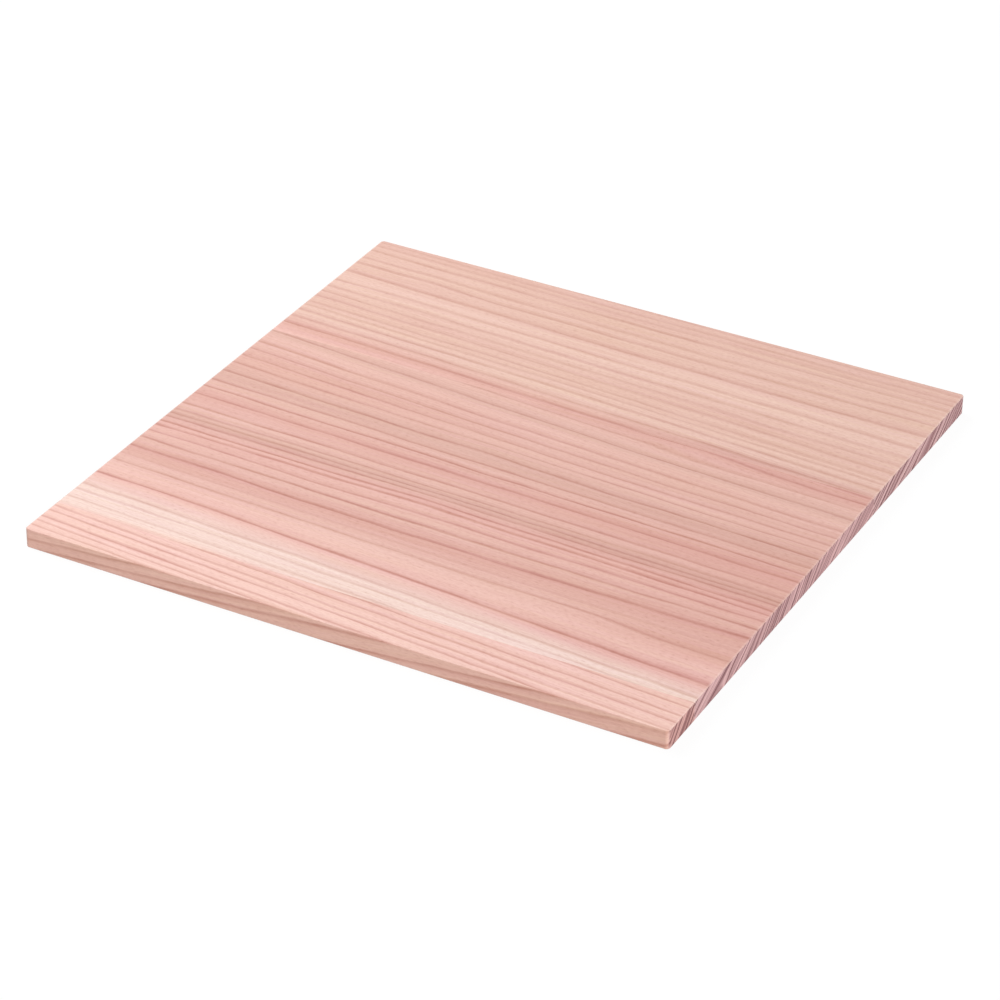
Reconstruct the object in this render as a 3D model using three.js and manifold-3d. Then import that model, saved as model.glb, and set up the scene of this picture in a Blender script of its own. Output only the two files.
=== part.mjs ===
// Square wooden plate: a thin flat board of three cedar staves, glued edge to edge.
// Millimetres, +Z up. The grain runs along X, the front edge faces -Y, and the board lies on Z = 0.

import * as THREE from 'three';
import { mergeVertices } from 'three/addons/utils/BufferGeometryUtils.js';
import Module from 'manifold-3d';

// Driving dimensions
const BOARD_LENGTH = 300;         // along the grain
const BOARD_THICKNESS = 9;
const FRONT_STAVE_WIDTH = 22.5;   // across the grain
const MIDDLE_STAVE_WIDTH = 175.9;
const BACK_STAVE_WIDTH = 101.4;
const GLUE_FILM_THICKNESS = 0.1;  // cured film in each joint
const CORNER_RADIUS = 1.8;        // the four upright corners, in plan
const EDGE_EASING = 0.4;          // quarter round along the upper and lower edges

// Facets of the rounded corners and edges
const CORNER_STEPS = 4;
const EASING_STEPS = 3;

// How far the cutting block stands past the board, so that it cuts only at the glued faces
const CUTTER_MARGIN = 5;

const wasm = await Module();
wasm.setup();

const frontStaveWood = new THREE.MeshStandardMaterial( { color: '#f3cdbf', roughness: 0.75, metalness: 0 } );
const middleStaveWood = new THREE.MeshStandardMaterial( { color: '#e2b3a8', roughness: 0.75, metalness: 0 } );
const backStaveWood = new THREE.MeshStandardMaterial( { color: '#e8c5b4', roughness: 0.75, metalness: 0 } );
const curedGlue = new THREE.MeshStandardMaterial( { color: '#ddbfae', roughness: 0.5, metalness: 0 } );

// What lies side by side across the grain, from the front edge to the back edge
const piecesAcross = [
	{ name: 'front_stave', width: FRONT_STAVE_WIDTH, material: frontStaveWood },
	{ name: 'front_glue_line', width: GLUE_FILM_THICKNESS, material: curedGlue },
	{ name: 'middle_stave', width: MIDDLE_STAVE_WIDTH, material: middleStaveWood },
	{ name: 'back_glue_line', width: GLUE_FILM_THICKNESS, material: curedGlue },
	{ name: 'back_stave', width: BACK_STAVE_WIDTH, material: backStaveWood },
];
const backmostPiece = piecesAcross.at( - 1 );
const boardWidth = piecesAcross.reduce( ( sum, piece ) => sum + piece.width, 0 );

// Turns a closed geometry into a solid that can be cut.
function solidFrom( geometry ) {

	geometry.deleteAttribute( 'normal' );
	geometry.deleteAttribute( 'uv' );
	const merged = mergeVertices( geometry );
	return new wasm.Manifold( new wasm.Mesh( {
		numProp: 3,
		vertProperties: new Float32Array( merged.attributes.position.array ),
		triVerts: new Uint32Array( merged.index.array ),
	} ) );

}

// Turns a cut solid back into a geometry for a mesh.
function geometryFrom( solid ) {

	const { vertProperties, triVerts } = solid.getMesh();
	const geometry = new THREE.BufferGeometry();
	geometry.setAttribute( 'position', new THREE.BufferAttribute( vertProperties, 3 ) );
	geometry.setIndex( new THREE.BufferAttribute( triVerts, 1 ) );
	geometry.computeVertexNormals();
	return geometry;

}

// The board's outline in plan: a rectangle about the origin with rounded corners.
function boardOutline() {

	const x = BOARD_LENGTH / 2 - CORNER_RADIUS;
	const y = boardWidth / 2 - CORNER_RADIUS;
	const quarterTurn = Math.PI / 2;
	const cornersAnticlockwise = [ [ x, y ], [ - x, y ], [ - x, - y ], [ x, - y ] ];

	const outline = new THREE.Shape();
	cornersAnticlockwise.forEach( ( [ centreX, centreY ], turn ) => {

		outline.absarc( centreX, centreY, CORNER_RADIUS, turn * quarterTurn, ( turn + 1 ) * quarterTurn );

	} );
	outline.closePath();
	return outline;

}

// The whole glued board, planed to thickness and cut to size, with every edge eased.
function easedBoard() {

	const geometry = new THREE.ExtrudeGeometry( boardOutline(), {
		depth: BOARD_THICKNESS - 2 * EDGE_EASING,
		curveSegments: CORNER_STEPS,
		bevelThickness: EDGE_EASING,
		bevelSize: EDGE_EASING,
		bevelOffset: - EDGE_EASING,
		bevelSegments: EASING_STEPS,
	} );
	geometry.translate( 0, 0, EDGE_EASING );
	return solidFrom( geometry );

}

// A block over all of the board that lies in front of a plane across its width.
function blockInFrontOf( planeY ) {

	const depth = boardWidth + CUTTER_MARGIN;
	const block = new THREE.BoxGeometry(
		BOARD_LENGTH + 2 * CUTTER_MARGIN,
		depth,
		BOARD_THICKNESS + 2 * CUTTER_MARGIN,
	);
	block.translate( 0, planeY - depth / 2, BOARD_THICKNESS / 2 );
	return solidFrom( block );

}

// The pieces come off the board one by one, from the front, each at its glued face.
const plate = new THREE.Group();
plate.name = 'wooden_plate';

let restOfBoard = easedBoard();
let gluedFaceY = - boardWidth / 2;
for ( const piece of piecesAcross ) {

	let solid = restOfBoard;
	if ( piece !== backmostPiece ) {

		gluedFaceY += piece.width;
		const cutter = blockInFrontOf( gluedFaceY );
		solid = restOfBoard.intersect( cutter );
		restOfBoard = restOfBoard.subtract( cutter );

	}

	const mesh = new THREE.Mesh( geometryFrom( solid ), piece.material );
	mesh.name = piece.name;
	plate.add( mesh );

}

export default plate;
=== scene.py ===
import math

import bmesh
import bpy
from mathutils import Matrix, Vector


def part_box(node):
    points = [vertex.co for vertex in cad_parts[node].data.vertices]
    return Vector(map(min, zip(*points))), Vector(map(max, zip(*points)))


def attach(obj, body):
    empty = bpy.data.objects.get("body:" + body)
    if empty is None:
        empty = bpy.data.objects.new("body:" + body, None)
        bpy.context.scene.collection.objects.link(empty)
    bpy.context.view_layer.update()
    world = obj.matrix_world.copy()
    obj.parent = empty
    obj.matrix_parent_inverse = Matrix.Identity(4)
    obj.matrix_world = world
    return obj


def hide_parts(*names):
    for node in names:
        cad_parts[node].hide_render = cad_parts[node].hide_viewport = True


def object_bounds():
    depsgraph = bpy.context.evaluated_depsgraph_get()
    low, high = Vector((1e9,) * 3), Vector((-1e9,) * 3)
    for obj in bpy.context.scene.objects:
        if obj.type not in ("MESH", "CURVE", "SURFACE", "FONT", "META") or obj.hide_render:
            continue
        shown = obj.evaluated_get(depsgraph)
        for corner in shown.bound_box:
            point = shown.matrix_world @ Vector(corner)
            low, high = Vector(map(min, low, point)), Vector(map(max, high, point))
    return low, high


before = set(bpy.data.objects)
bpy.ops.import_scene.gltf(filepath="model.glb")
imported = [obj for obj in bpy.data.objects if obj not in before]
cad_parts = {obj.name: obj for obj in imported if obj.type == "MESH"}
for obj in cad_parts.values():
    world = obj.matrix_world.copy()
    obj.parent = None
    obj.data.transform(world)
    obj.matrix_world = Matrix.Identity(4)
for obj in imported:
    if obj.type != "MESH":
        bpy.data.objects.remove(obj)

cad_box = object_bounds()

# Front stave: the narrow salmon strip along the front edge, of planed Japanese cedar. The three staves
# are glued edge to edge, and the board is then planed, sawn square and eased all round, so each stave
# is modelled as a slice of one eased board.

MM = 0.001
CORNER_RADIUS = 1.8 * MM    # the four upright corners, in plan
EDGE_EASING = 0.4 * MM      # quarter round along the upper and lower edges
CORNER_FACETS = 8
EASING_FACETS = 6
SMOOTH_ANGLE = math.radians(30)
TOUCH = 0.001 * MM          # closer than this is the same place

board_low, board_high = cad_box
board_size = board_high - board_low


def select_edges(piece, wanted):
    """In edit mode, selects the edges whose two end points pass the test."""
    bpy.ops.mesh.select_mode(type="EDGE")
    bpy.ops.mesh.select_all(action="DESELECT")
    shape = bmesh.from_edit_mesh(piece.data)
    for edge in shape.edges:
        edge.select_set(wanted(edge.verts[0].co, edge.verts[1].co))
    shape.select_flush_mode()
    bmesh.update_edit_mesh(piece.data)


def slice_of_board(name, node):
    """A slice of the eased board, cut at the glued faces of the CAD node that it stands for."""
    slice_low, slice_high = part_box(node)
    bpy.ops.object.select_all(action="DESELECT")
    bpy.ops.mesh.primitive_cube_add(size=1, location=(board_low + board_high) / 2)
    piece = bpy.context.object
    piece.name = name
    piece.data.name = name
    bpy.ops.transform.resize(value=board_size)
    bpy.ops.object.transform_apply(location=True, rotation=False, scale=True)

    bpy.ops.object.mode_set(mode="EDIT")
    select_edges(piece, lambda start, end: abs(start.z - end.z) > TOUCH)
    bpy.ops.mesh.bevel(offset=CORNER_RADIUS, segments=CORNER_FACETS)
    select_edges(piece, lambda start, end: abs(start.z - end.z) < TOUCH)
    bpy.ops.mesh.bevel(offset=EDGE_EASING, segments=EASING_FACETS)
    # A glue film is as thin as the tolerance that bisect has by itself, so a finer one is given
    for glued_face, outward in ((slice_low.y, -1), (slice_high.y, 1)):
        if board_low.y + TOUCH < glued_face < board_high.y - TOUCH:
            bpy.ops.mesh.select_all(action="SELECT")
            bpy.ops.mesh.bisect(
                plane_co=(0, glued_face, 0), plane_no=(0, outward, 0), use_fill=True, clear_outer=True,
                threshold=TOUCH
            )
    bpy.ops.object.mode_set(mode="OBJECT")

    bpy.ops.object.shade_smooth_by_angle(angle=SMOOTH_ANGLE)
    flat_faces = piece.modifiers.new("flat_faces", "WEIGHTED_NORMAL")
    flat_faces.keep_sharp = True
    bpy.ops.object.modifier_apply(modifier=flat_faces.name)
    return piece


def linear(hex_code):
    """An sRGB hex colour as linear red, green, blue and alpha."""
    levels = [int(hex_code[digit:digit + 2], 16) / 255 for digit in (1, 3, 5)]
    return [v / 12.92 if v <= 0.04045 else ((v + 0.055) / 1.055) ** 2.4 for v in levels] + [1]


def add_node(tree, kind, inputs, curves=(), stops=(), **settings):
    """Adds a node with its settings, curve points and ramp stops, and sets or links its inputs."""
    node = tree.nodes.new("ShaderNode" + kind)
    for setting, value in settings.items():
        setattr(node, setting, value)
    for line, points in enumerate(curves):
        curve = node.mapping.curves[line]
        curve.points[0].location = points[0]
        curve.points[-1].location = points[-1]
        for place in points[1:-1]:
            curve.points.new(*place)
        for point in curve.points:
            point.handle_type = "VECTOR"
    if curves:
        node.mapping.update()
    for number, (place, hex_code) in enumerate(stops):
        if number > 1:
            node.color_ramp.elements.new(place)
        node.color_ramp.elements[number].position = place
        node.color_ramp.elements[number].color = linear(hex_code)
    for socket, value in inputs.items():
        if isinstance(value, bpy.types.NodeSocket):
            tree.links.new(value, node.inputs[socket])
        else:
            node.inputs[socket].default_value = value
    return node.outputs


# The Mix node has several sockets of each name, so its share, its colours and its result go by number
MIX_SHARE = 0
MIX_UNDER = 6
MIX_OVER = 7
MIX_RESULT = 2

# Planed cedar: matt softwood that shows its growth rings as thin brown lines along the board. Each ring
# starts pale, darkens into a line of latewood, and soon fades where the next spring's wood begins.
# The rings lean through the thickness, so the same lines run down the sawn ends as slanted stripes.

# The ring lines, with lengths in mm: a ring's darkness by the distance to its end, and what its curves need
LINE_PROFILE = [
    (0, 0.12), (0.3, 0.5), (0.6, 0.92), (0.8, 1), (1.1, 0.85), (1.5, 0.5), (2, 0.3), (3, 0.2), (5, 0.15),
    (8, 0),
]
LINE_REACH = LINE_PROFILE[-1][0]
LINE_MIDDLE = 0.75              # from the middle of a line to the end of its ring
BEND_RANGE = 25                 # the largest bend that the curves hold
WIDTH_RANGE = 25                # the widest ring that the curves hold
LEAN_RANGE = 4                  # the largest lean, sideways for each mm of depth
LABEL_PASSES = 6                # each finds the place of a point's ring more closely
LINE_STRENGTHS = (0.3, 1.7)     # a line's weakest and strongest parts, against its own darkness
LATEWOOD = "#d8beb8"            # tint of a full line over the wood beside it

# Random patterns, by the size of a patch in mm along the board, across the rings and down
WAVER_SIZE = (34, 8, 8)         # a stretch in which fibres stray from their run and come back
FIBRE_SIZE = (2.5, 0.7, 0.7)    # short fibres, drawn about twenty times as wide as they are, to show
STREAK_SIZE = (90, 0.9, 30)     # long streaks within a ring
STRENGTH_SIZE = (24, 4, 40)     # parts of a line that are stronger or weaker
WARMTH_SIZE = (90, 1.8, 30)     # broader streaks that are golden or pink
WAVER = 1                       # mm, the most that fibres stray to either side
FIBRE_RELIEF = 0.05 * MM

# Tints over the wood, each by the level of its pattern
WARMTH_TINTS = [(0.3, "#fffffa"), (0.7, "#fffcff")]
STREAK_TINTS = [(0.3, "#f8f2f0"), (0.6, "#ffffff")]
FIBRE_TINTS = [(0.2, "#e8dcd8"), (0.38, "#f9f5f4"), (0.62, "#ffffff")]

# The sawn faces: how squarely a face looks outwards where their colours begin and where they are full
EDGE_FACING = (0.6, 0.95)
EDGE_TINT = "#fff8f1"
END_FACING = (0.7, 0.95)
END_TONE_SHARE = 0.85           # the rest is the colour of the upper face
END_STREAK_TINTS = [(0.38, "#b29ea3"), (0.5, "#d9d0d2"), (0.62, "#f4eeef")]
END_LINE_TINT = "#84545a"
END_LINE_POWER = 1.7            # above 1 the lines are thinner than on the upper face
# A thin pale line at the ends: partly the saw's fraying, partly a painted highlight along the end arrises
FRAY_AND_HIGHLIGHT_WIDTH = 1                  # mm
FRAY_AND_HIGHLIGHT_SHARE = 0.3
FRAY_AND_HIGHLIGHT_TINT = "#fbe6de"

EARLYWOOD_ROUGHNESS = 0.68
LATEWOOD_ROUGHNESS = 0.52       # it is harder and planes smoother


def planed_cedar(
    name, ring_lines, line_width, grain_bends, ring_leans, wood_tones, end_tone, grain_swings=(), blushes=()
):
    """Cedar whose ring lines lie at given places, in mm from the board's back edge at its left end.

    ring_lines gives each line's place and darkness, and line_width its width against the usual one.
    grain_bends gives, at a few places, how far a line moves to the front by the right end and how far its
    middle bows. ring_leans gives the lean towards the front with depth, and wood_tones the colour
    between the lines. end_tone is the palest colour of the sawn ends.
    grain_swings gives where the fibres swing round a hidden branch: mm from the left end and from the
    back edge, half the length and half the width of the swing, and how far it moves the lines to the
    front. blushes gives a tint for a part of the board, with its place and size in the same way.
    """
    first = ring_lines[0][0]
    last = ring_lines[-1][0]
    ring_count = len(ring_lines) - 1

    def over_rings(points, largest):
        """Points for a curve over the whole run of rings, level beyond the outermost ones."""
        inside = [((spot - first) / (last - first), value / largest) for spot, value in points]
        return [(0, inside[0][1])] + [point for point in inside if 0 < point[0] < 1] + [(1, inside[-1][1])]

    material = bpy.data.materials.new(name)
    material.use_nodes = True
    tree = material.node_tree
    tree.nodes.clear()

    # Where a point lies in the board: mm from the left end, from the back edge and from the upper face
    coordinates = add_node(tree, "TexCoord", {})
    in_board = add_node(tree, "Mapping", {
        "Vector": coordinates["Object"],
        "Location": (-board_low.x / MM, board_high.y / MM, board_high.z / MM),
        "Scale": (1 / MM, -1 / MM, -1 / MM),
    })[0]
    place = add_node(tree, "SeparateXYZ", {0: in_board})
    along = add_node(tree, "Math", {0: place["X"], 1: board_size.x / MM}, operation="DIVIDE")[0]

    def nearness(middle_x, middle_y, half_length, half_width):
        """1 at a place on the board, given in mm as above, and fading to 0 around it."""
        away = add_node(tree, "Mapping", {
            "Vector": in_board,
            "Location": (-middle_x / half_length, -middle_y / half_width, 0),
            "Scale": (1 / half_length, 1 / half_width, 0),
        })[0]
        distance = add_node(tree, "VectorMath", {0: away, 1: away}, operation="DOT_PRODUCT")["Value"]
        return add_node(tree, "Math", {0: 1 / math.e, 1: distance}, operation="POWER")[0]

    # Fibres waver a little, so no line is drawn with a ruler
    waver_place = add_node(tree, "VectorMath", {0: in_board, 1: WAVER_SIZE}, operation="DIVIDE")[0]
    waver = add_node(tree, "TexNoise", {"Vector": waver_place, "Scale": 1, "Detail": 4})["Fac"]
    waver_from = add_node(tree, "MapRange", {"Value": waver, "To Min": -WAVER, "To Max": WAVER})[0]
    from_back = add_node(tree, "Math", {0: place["Y"], 1: waver_from})[0]
    from_back = add_node(tree, "Math", {0: from_back, 1: -LINE_MIDDLE * line_width})[0]
    for swing_x, swing_y, half_length, half_width, swing in grain_swings:
        near = nearness(swing_x, swing_y, half_length, half_width)
        from_back = add_node(tree, "Math", {0: near, 1: -swing, 2: from_back}, operation="MULTIPLY_ADD")[0]

    # How much of its move and of its bow a line has made here: the bow is half a wave over the length
    half_turn = add_node(tree, "Math", {0: along, 1: math.pi}, operation="MULTIPLY")[0]
    bow = add_node(tree, "Math", {0: half_turn}, operation="SINE")[0]
    bends = add_node(tree, "CombineXYZ", {"X": along, "Y": bow})[0]
    bend_sizes = add_node(tree, "VectorMath", {0: bends, 1: (BEND_RANGE,) * 3}, operation="MULTIPLY")[0]
    lean_depth = add_node(tree, "Math", {0: place["Z"], 1: LEAN_RANGE}, operation="MULTIPLY")[0]

    # The place that this point's ring has at the left end of the upper face, closer with each pass
    label = from_back
    for _ in range(LABEL_PASSES):
        share = add_node(tree, "MapRange", {"Value": label, "From Min": first, "From Max": last})[0]
        bent = add_node(tree, "VectorCurve", {"Vector": share}, curves=[
            over_rings([(spot, move) for spot, move, _ in grain_bends], BEND_RANGE),
            over_rings([(spot, middle_bow) for spot, _, middle_bow in grain_bends], BEND_RANGE),
        ])[0]
        moved = add_node(tree, "VectorMath", {0: bent, 1: bend_sizes}, operation="DOT_PRODUCT")["Value"]
        lean = add_node(tree, "FloatCurve", {"Value": share}, curves=[over_rings(ring_leans, LEAN_RANGE)])[0]
        leaned = add_node(tree, "Math", {0: lean, 1: lean_depth}, operation="MULTIPLY")[0]
        on_top = add_node(tree, "Math", {0: from_back, 1: leaned}, operation="SUBTRACT")[0]
        label = add_node(tree, "Math", {0: on_top, 1: moved}, operation="SUBTRACT")[0]
    share = add_node(tree, "MapRange", {"Value": label, "From Min": first, "From Max": last})[0]

    # Which ring this is, how wide it is on the upper face, and how dark its line is
    spots = [line[0] for line in ring_lines]
    rings = add_node(tree, "VectorCurve", {"Vector": share}, curves=[
        over_rings([(spot, number) for number, spot in enumerate(spots)], ring_count),
        over_rings([((start + end) / 2, end - start) for start, end in zip(spots, spots[1:])], WIDTH_RANGE),
        over_rings(ring_lines, 1),
    ])[0]
    ring = add_node(tree, "SeparateXYZ", {0: rings})
    ring_number = add_node(tree, "Math", {0: ring["X"], 1: ring_count}, operation="MULTIPLY")[0]
    ring_share = add_node(tree, "Math", {0: ring_number}, operation="FRACT")[0]
    ring_left = add_node(tree, "Math", {0: 1, 1: ring_share}, operation="SUBTRACT")[0]
    ring_width = add_node(
        tree, "Math", {0: ring["Y"], 1: WIDTH_RANGE / LINE_REACH / line_width}, operation="MULTIPLY"
    )[0]
    to_line = add_node(
        tree, "Math", {0: ring_left, 1: ring_width}, operation="MULTIPLY", use_clamp=True
    )[0]
    latewood = add_node(tree, "FloatCurve", {"Value": to_line}, curves=[
        [(distance / LINE_REACH, dark) for distance, dark in LINE_PROFILE]
    ])[0]

    # Random shades that run with the wood
    in_wood = add_node(tree, "CombineXYZ", {"X": place["X"], "Y": label, "Z": place["Z"]})[0]
    shades = []
    for patch_size in (FIBRE_SIZE, STREAK_SIZE, STRENGTH_SIZE, WARMTH_SIZE):
        patches = add_node(tree, "VectorMath", {0: in_wood, 1: patch_size}, operation="DIVIDE")[0]
        shades.append(add_node(tree, "TexNoise", {"Vector": patches, "Scale": 1, "Detail": 2})["Fac"])
    fibre, streak, strength, warmth = shades

    # Colour between the lines, with the streaks and the fibres over it
    colour = add_node(tree, "ValToRGB", {"Fac": share}, stops=[
        ((spot - first) / (last - first), hex_code) for spot, hex_code in wood_tones
    ])[0]
    for blush_x, blush_y, half_length, half_width, hex_code in blushes:
        near = nearness(blush_x, blush_y, half_length, half_width)
        colour = add_node(
            tree, "Mix", {MIX_SHARE: near, MIX_UNDER: colour, MIX_OVER: linear(hex_code)},
            data_type="RGBA", blend_type="MULTIPLY"
        )[MIX_RESULT]
    for shade, shade_tints in ((warmth, WARMTH_TINTS), (streak, STREAK_TINTS), (fibre, FIBRE_TINTS)):
        tint = add_node(tree, "ValToRGB", {"Fac": shade}, stops=shade_tints)[0]
        colour = add_node(
            tree, "Mix", {MIX_SHARE: 1, MIX_UNDER: colour, MIX_OVER: tint},
            data_type="RGBA", blend_type="MULTIPLY"
        )[MIX_RESULT]

    # The lines, a little stronger here and weaker there along their length
    weakest, strongest = LINE_STRENGTHS
    unevenness = add_node(tree, "MapRange", {"Value": strength, "To Min": weakest, "To Max": strongest})[0]
    darkness = add_node(tree, "Math", {0: ring["Z"], 1: unevenness}, operation="MULTIPLY")[0]
    line = add_node(tree, "Math", {0: latewood, 1: darkness}, operation="MULTIPLY", use_clamp=True)[0]
    colour = add_node(
        tree, "Mix", {MIX_SHARE: line, MIX_UNDER: colour, MIX_OVER: linear(LATEWOOD)},
        data_type="RGBA", blend_type="MULTIPLY"
    )[MIX_RESULT]

    # Sawn along the fibres, the edges are a shade browner
    facing = add_node(tree, "SeparateXYZ", {0: coordinates["Normal"]})
    edge_facing = add_node(tree, "Math", {0: facing["Y"]}, operation="ABSOLUTE")[0]
    begins, full = EDGE_FACING
    long_edge = add_node(tree, "MapRange", {"Value": edge_facing, "From Min": begins, "From Max": full})[0]
    colour = add_node(
        tree, "Mix", {MIX_SHARE: long_edge, MIX_UNDER: colour, MIX_OVER: linear(EDGE_TINT)},
        data_type="RGBA", blend_type="MULTIPLY"
    )[MIX_RESULT]

    # Sawn across them, the ends are mauve with pale and dark streaks, and every ring is a dark line
    end_wood = add_node(
        tree, "Mix", {MIX_SHARE: END_TONE_SHARE, MIX_UNDER: colour, MIX_OVER: linear(end_tone)},
        data_type="RGBA"
    )[MIX_RESULT]
    end_streaks = add_node(tree, "ValToRGB", {"Fac": warmth}, stops=END_STREAK_TINTS)[0]
    end_line = add_node(tree, "Math", {0: latewood, 1: END_LINE_POWER}, operation="POWER")[0]
    for share_of_tint, tint in ((1, end_streaks), (end_line, linear(END_LINE_TINT))):
        end_wood = add_node(
            tree, "Mix", {MIX_SHARE: share_of_tint, MIX_UNDER: end_wood, MIX_OVER: tint},
            data_type="RGBA", blend_type="MULTIPLY"
        )[MIX_RESULT]
    end_facing = add_node(tree, "Math", {0: facing["X"]}, operation="ABSOLUTE")[0]
    begins, full = END_FACING
    sawn_end = add_node(tree, "MapRange", {"Value": end_facing, "From Min": begins, "From Max": full})[0]
    colour = add_node(
        tree, "Mix", {MIX_SHARE: sawn_end, MIX_UNDER: colour, MIX_OVER: end_wood}, data_type="RGBA"
    )[MIX_RESULT]

    # Thin pale line along the flat faces at the ends: partly the saw's fraying, partly a painted arris
    # highlight
    half_board = board_size.x / MM / 2
    from_middle = add_node(tree, "Math", {0: place["X"], 1: half_board}, operation="SUBTRACT")[0]
    from_middle = add_node(tree, "Math", {0: from_middle}, operation="ABSOLUTE")[0]
    frayed_and_highlit = add_node(tree, "MapRange", {
        "Value": from_middle,
        "From Min": half_board - FRAY_AND_HIGHLIGHT_WIDTH,
        "From Max": half_board,
        "To Max": FRAY_AND_HIGHLIGHT_SHARE,
    })[0]
    flat_facing = add_node(tree, "Math", {0: facing["Z"]}, operation="ABSOLUTE")[0]
    frayed_and_highlit = add_node(tree, "Math", {0: frayed_and_highlit, 1: flat_facing}, operation="MULTIPLY")[0]
    colour = add_node(
        tree, "Mix", {MIX_SHARE: frayed_and_highlit, MIX_UNDER: colour, MIX_OVER: linear(FRAY_AND_HIGHLIGHT_TINT)}, data_type="RGBA"
    )[MIX_RESULT]

    roughness = add_node(tree, "MapRange", {
        "Value": line, "To Min": EARLYWOOD_ROUGHNESS, "To Max": LATEWOOD_ROUGHNESS
    })[0]
    relief = add_node(tree, "Bump", {"Height": fibre, "Strength": 0.15, "Distance": FIBRE_RELIEF})[0]
    shader = add_node(tree, "BsdfPrincipled", {
        "Base Color": colour,
        "Roughness": roughness,
        "IOR": 1.5,
        "Specular IOR Level": 0.25,
        "Normal": relief,
    })[0]
    add_node(tree, "OutputMaterial", {"Surface": shader})
    return material


front_rings = [
    (246, 0.6), (250, 0.6), (254, 0.6), (258, 0.6), (262, 0.75), (268.5, 0.75), (273, 0.8), (278.5, 0.65),
    (282, 0.9), (288, 0.9), (291.5, 0.65), (295.5, 0.95), (300, 0.6), (304, 0.5),
]
front_line_width = 1
front_bends = [(246, 19.5, 0), (268, 20, 0), (280, 21, 0), (304, 21, 0)]
front_leans = [(246, 0.9), (304, 0.9)]
salmon = "#f6d1c7"
pale_salmon = "#fad7cd"
front_tones = [(246, salmon), (273, salmon), (281, pale_salmon), (304, pale_salmon)]
front_end_tone = "#ffcdc4"

front_stave = slice_of_board("front_stave_wood", "front_stave")
front_stave.data.materials.append(planed_cedar(
    "planed_salmon_cedar", front_rings, front_line_width, front_bends, front_leans, front_tones,
    front_end_tone
))
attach(front_stave, "root")
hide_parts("front_stave")

# Middle stave: the wide pink strip of heartwood, with a streak of cream sapwood along its front edge.
# It is sawn from the same cedar and glued to the staves on both sides.

middle_rings = [
    (58, 0.6), (64, 0.6), (70, 0.6), (76, 0.7), (82, 0.6), (88, 0.6), (93.5, 0.5), (102, 0.55), (114, 0.65),
    (121, 0.6), (128, 0.6), (136, 0.6), (144.5, 0.85), (154, 0.7), (160.5, 1), (168, 0.65), (178.5, 0.75),
    (184.5, 0.5), (188, 0.75), (191.5, 0.8), (196.5, 0.95), (200, 0.95), (205.5, 0.75), (212, 0.9),
    (220, 0.85), (228, 0.15), (233.5, 0.65), (246.5, 0.95), (257.5, 0.6), (262, 0.45), (269, 0.5),
    (275, 0.2), (282, 0.2),
]
middle_line_width = 1.25
middle_bends = [
    (58, 21.5, 1.5), (102, 21, 1.5), (128, 18, 1.5), (137, 14.5, 0.5), (153, 12.5, 0), (178, 9, -0.5),
    (198, 7, -1.5), (206, 7, 0), (220, 6, 2.5), (233, 12, -0.5), (246, 18.5, -1), (257, 17, -1),
    (282, 17, -1),
]
middle_swings = [
    (140, 150, 18, 7, -1), (195, 154, 16, 7, 0.5), (75, 178, 20, 8, -0.5), (138, 199, 18, 7, -1),
    (88, 208, 30, 4, 1), (215, 113, 45, 6, 2), (45, 221, 18, 7, -0.5), (228, 242, 30, 4, -2),
    (48, 248, 35, 6, -1), (215, 104, 40, 5, -2.5),
]
middle_leans = [
    (58, 1.9), (110, 1.5), (136, 1.3), (155, 0.9), (170, 0.9), (203, 1.1), (222, 1.8), (231, 2.4), (245, 2),
    (282, 1.7),
]
deep_pink = "#dfb1a7"
dull_pink = "#ddb6aa"
soft_pink = "#e4bcb1"
pale_pink = "#e8c1b6"
rosy_pink = "#ecc2b9"
light_pink = "#f0c9bf"
cream = "#f7e0d7"
middle_tones = [
    (58, deep_pink), (88, deep_pink), (93, pale_pink), (102, dull_pink), (107, pale_pink), (124, soft_pink),
    (131, pale_pink), (147, dull_pink), (158, pale_pink), (167, deep_pink), (179, pale_pink),
    (187, dull_pink), (197, rosy_pink), (212, pale_pink), (220, deep_pink), (232, pale_pink),
    (240, light_pink), (247, rosy_pink), (257, cream), (282, cream),
]
middle_end_tone = "#fcd4d3"
middle_blushes = [
    (300, 190, 110, 42, "#fbf5f5"), (30, 133, 80, 10, "#faf5f3"), (285, 242, 60, 4, "#f7eeec"),
    (295, 249, 60, 4, "#f9f1f0"), (295, 263, 90, 5, "#f7eef0"), (0, 277, 90, 1.8, "#fbeae6"),
]

middle_stave = slice_of_board("middle_stave_wood", "middle_stave")
middle_stave.data.materials.append(planed_cedar(
    "planed_pink_cedar", middle_rings, middle_line_width, middle_bends, middle_leans, middle_tones,
    middle_end_tone, middle_swings, middle_blushes
))
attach(middle_stave, "root")
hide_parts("middle_stave")

# Back stave: the paler beige strip along the back edge, of the same cedar.
# It is glued to the middle stave and planed level with the others.

back_rings = [
    (-24, 0.35), (-18, 0.35), (-12, 0.35), (-8, 0.35), (-3, 0.3), (2, 0.4), (6, 0.3), (11, 0.65), (19.5, 0.4),
    (25, 0.6), (34.5, 0.55), (45, 0.55), (52, 0.45), (57.5, 0.35), (63, 0.4), (69.5, 0.5), (73, 0.35),
    (78, 0.7), (85, 0.6), (91.5, 0.65), (98, 0.1), (106, 0.1),
]
back_line_width = 1.8
back_bends = [
    (-24, 6.5, 0.5), (11, 6.5, 1), (25, 7.5, 2), (35, 9, 1.5), (45, 10.5, 0), (55, 14.5, 0),
    (63, 17, -1), (106, 17, -1),
]
back_swings = [(42, 25, 18, 6, -1), (48, 50, 20, 7, -1)]
back_leans = [(-24, 1.5), (25, 1.5), (37, 2.4), (58, 1.8), (106, 1.7)]
dark_beige = "#e5c1b4"
mild_beige = "#e8c6b8"
pale_beige = "#ecccbf"
rose_beige = "#e2b6ab"
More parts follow.
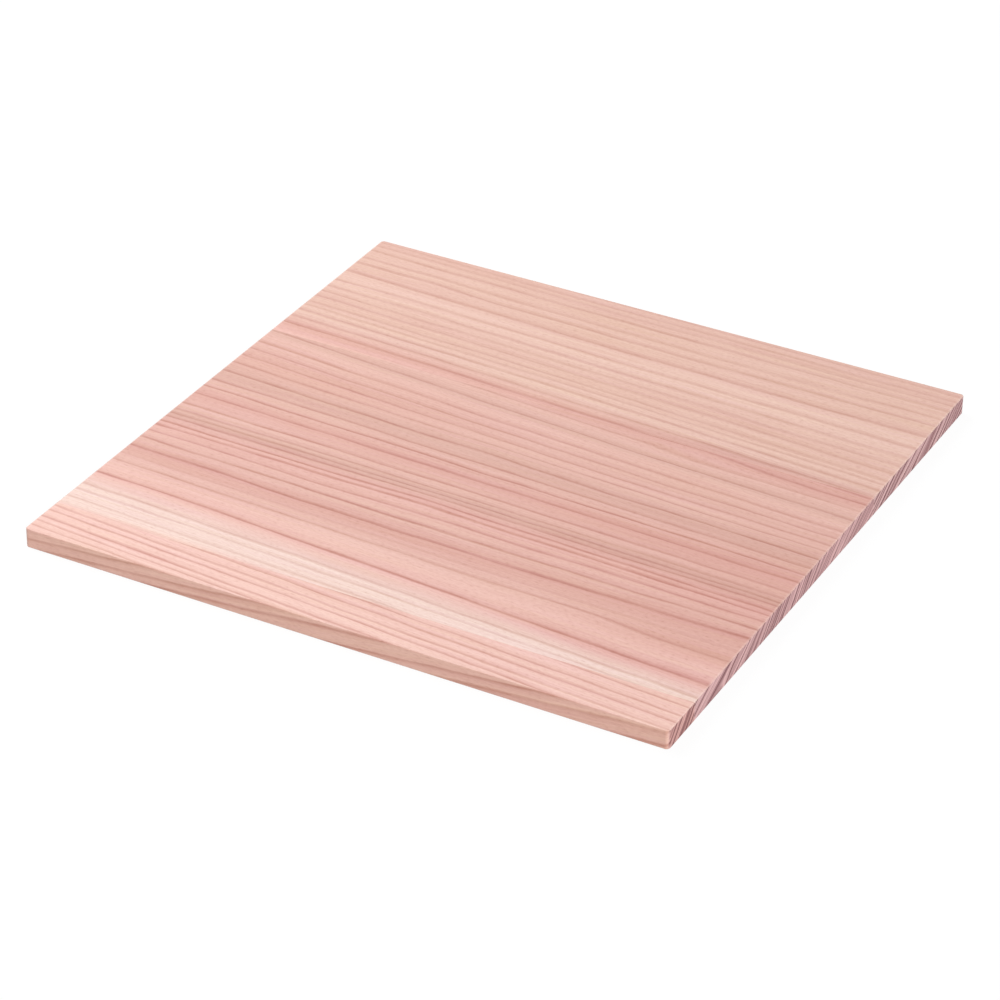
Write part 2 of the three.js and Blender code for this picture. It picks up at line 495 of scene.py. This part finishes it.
back_tones = [
    (-24, dark_beige), (3, dark_beige), (9, mild_beige), (28, mild_beige), (32, dark_beige), (38, pale_beige),
    (48, pale_beige), (60, dark_beige), (66, mild_beige), (80, pale_beige), (91, rose_beige), (97, rosy_pink),
]
back_end_tone = "#ffd9d8"
back_blushes = [(250, 99, 70, 3, "#f4edee")]

back_stave = slice_of_board("back_stave_wood", "back_stave")
back_stave.data.materials.append(planed_cedar(
    "planed_beige_cedar", back_rings, back_line_width, back_bends, back_leans, back_tones, back_end_tone,
    back_swings, back_blushes
))
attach(back_stave, "root")
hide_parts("back_stave")

# Glue lines: the two films of cured wood glue between the staves, a tenth of a millimetre thick.
# They were pressed out under the clamps and are planed flush with the wood.

BLOTCH_SIZE = (12 * MM, 2 * MM, 2 * MM)     # along the board, across it and down
GLUE_TINTS = [(0.3, "#dcb3a2"), (0.7, "#e6c3b2")]
SHINY_ROUGHNESS = 0.35
DULL_ROUGHNESS = 0.55


def cured_wood_glue():
    """Cured wood glue: a pale amber film, a little shiny, that takes on the colour of the wood."""
    material = bpy.data.materials.new("planed_wood_glue")
    material.use_nodes = True
    tree = material.node_tree
    tree.nodes.clear()
    coordinates = add_node(tree, "TexCoord", {})
    blotch_place = add_node(
        tree, "VectorMath", {0: coordinates["Object"], 1: BLOTCH_SIZE}, operation="DIVIDE"
    )[0]
    blotch = add_node(tree, "TexNoise", {"Vector": blotch_place, "Scale": 1, "Detail": 2})["Fac"]
    colour = add_node(tree, "ValToRGB", {"Fac": blotch}, stops=GLUE_TINTS)[0]
    roughness = add_node(tree, "MapRange", {
        "Value": blotch, "To Min": SHINY_ROUGHNESS, "To Max": DULL_ROUGHNESS
    })[0]
    shader = add_node(tree, "BsdfPrincipled", {"Base Color": colour, "Roughness": roughness, "IOR": 1.47})[0]
    add_node(tree, "OutputMaterial", {"Surface": shader})
    return material


wood_glue = cured_wood_glue()
for node in ("front_glue_line", "back_glue_line"):
    glue_film = slice_of_board(node + "_film", node)
    glue_film.data.materials.append(wood_glue)
    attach(glue_film, "root")
    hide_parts(node)

# Floor: a wide sheet of matt white paper under the plate. The camera sees it near white, and it keeps
# a faint shadow of the plate.

FLOOR_SIZE = 12             # m
FLOOR_GAP = 0.05 * MM       # clear of the plate's underside
LIT_PAPER = "#c4c4c4"       # throws light back at the plate
SHADED_PAPER = "#505050"    # what the camera sees lit by the lamps, and so darker in the shadow
PAPER_GLOW = 0.93           # what the camera sees of it all over


def seen_by_camera(tree):
    """1 for rays to the camera, straight or by way of a glossy or clear surface, and 0 for other rays."""
    rays = add_node(tree, "LightPath", {})
    seen = add_node(
        tree, "Math", {0: rays["Is Camera Ray"], 1: rays["Is Glossy Ray"]}, operation="MAXIMUM"
    )[0]
    return add_node(tree, "Math", {0: seen, 1: rays["Is Transmission Ray"]}, operation="MAXIMUM")[0]


bpy.ops.object.select_all(action="DESELECT")
bpy.ops.mesh.primitive_plane_add(size=FLOOR_SIZE, location=(0, 0, board_low.z - FLOOR_GAP))
floor = bpy.context.object
floor.name = "paper_floor"
paper = bpy.data.materials.new("matt_white_paper")
paper.use_nodes = True
tree = paper.node_tree
tree.nodes.clear()
lit_paper = add_node(tree, "BsdfDiffuse", {"Color": linear(LIT_PAPER)})[0]
shaded_paper = add_node(tree, "BsdfDiffuse", {"Color": linear(SHADED_PAPER)})[0]
white = add_node(tree, "Emission", {"Color": linear("#ffffff"), "Strength": PAPER_GLOW})[0]
seen_paper = add_node(tree, "AddShader", {0: shaded_paper, 1: white})[0]
shader = add_node(tree, "MixShader", {0: seen_by_camera(tree), 1: lit_paper, 2: seen_paper})[0]
add_node(tree, "OutputMaterial", {"Surface": shader})
floor.data.materials.append(paper)

# Light: a white studio with one large soft lamp overhead on the left, and a larger one further off in
# front on the right, which lights the two near sides and the corner between them.

ROOM_LIGHT = 0.38       # what falls on the plate, against 1 for the white that the camera sees
LAMPS = {               # in metres and watts
    "overhead_lamp": {"place": (-1.1, 0.35, 1.2), "size": 1.2, "power": 20.2},
    "front_lamp": {"place": (3.35, -2.34, 1.9), "size": 2.7, "power": 133},
}

room = bpy.data.worlds.new("white_studio")
bpy.context.scene.world = room
room.use_nodes = True
tree = room.node_tree
tree.nodes.clear()
strength = add_node(tree, "MapRange", {
    "Value": seen_by_camera(tree), "To Min": ROOM_LIGHT, "To Max": 1
})[0]
background = add_node(tree, "Background", {"Color": linear("#ffffff"), "Strength": strength})[0]
add_node(tree, "OutputWorld", {"Surface": background})

for name, lamp in LAMPS.items():
    bpy.ops.object.light_add(type="AREA", location=lamp["place"])
    light = bpy.context.object
    light.name = name
    light.data.size = lamp["size"]
    light.data.energy = lamp["power"]
    light.rotation_euler = (-light.location).to_track_quat("-Z", "Y").to_euler()

# Camera: a long lens above the front right corner, where the photograph was taken from. It is about 1.6 m
# away, so the far edges look only a little shorter than the near ones.

CAMERA_PLACE = (634.36 * MM, -1209.46 * MM, 824.72 * MM)
CAMERA_TURN = math.radians(27.852)      # round from the front towards the right
CAMERA_RISE = math.radians(31.486)      # above the horizon
CAMERA_ROLL = math.radians(0.922)
LENS = 132.44                           # mm, on a sensor 36 mm wide

bpy.ops.object.camera_add()
camera = bpy.context.object
camera.name = "long_lens"
camera.data.lens = LENS
camera.matrix_world = (
    Matrix.Translation(CAMERA_PLACE)
    @ Matrix.Rotation(CAMERA_TURN, 4, "Z")
    @ Matrix.Rotation(math.pi / 2 - CAMERA_RISE, 4, "X")
    @ Matrix.Rotation(CAMERA_ROLL, 4, "Z")
)
bpy.context.scene.camera = camera
bpy.context.scene.view_settings.view_transform = "Standard"
